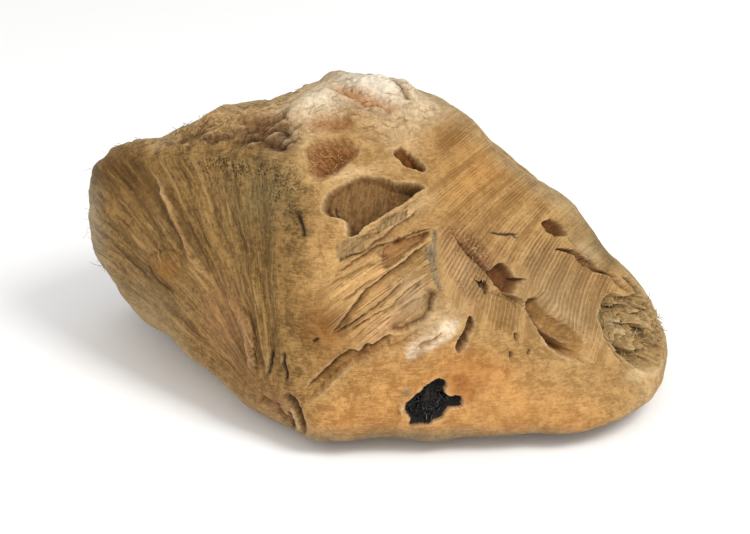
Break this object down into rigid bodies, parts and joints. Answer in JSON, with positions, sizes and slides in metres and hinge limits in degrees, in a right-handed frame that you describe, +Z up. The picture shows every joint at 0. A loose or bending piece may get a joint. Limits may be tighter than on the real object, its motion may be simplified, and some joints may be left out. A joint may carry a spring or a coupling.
{
  "type": "aquarium driftwood root",
  "caption": "Weathered lump of hewn root wood that stands in an aquarium as a hardscape centrepiece, with a fan of grooves, a pocket and a charred knot.",
  "frame": {"origin": "on the ground, under the middle of the root's box", "axes": "+X to the right of the carved front, +Y to the back, +Z up as it lies on its flat spot"},
  "size_m": [0.3034, 0.1956, 0.1546],
  "materials": {
    "weathered_wood": "bare weathered wood, dry and matt, with saw marks, grey-brown grooves and one charred knot"
  },
  "bodies": {
    "root": {"root": "weathered_wood"}
  },
  "joints": []
}
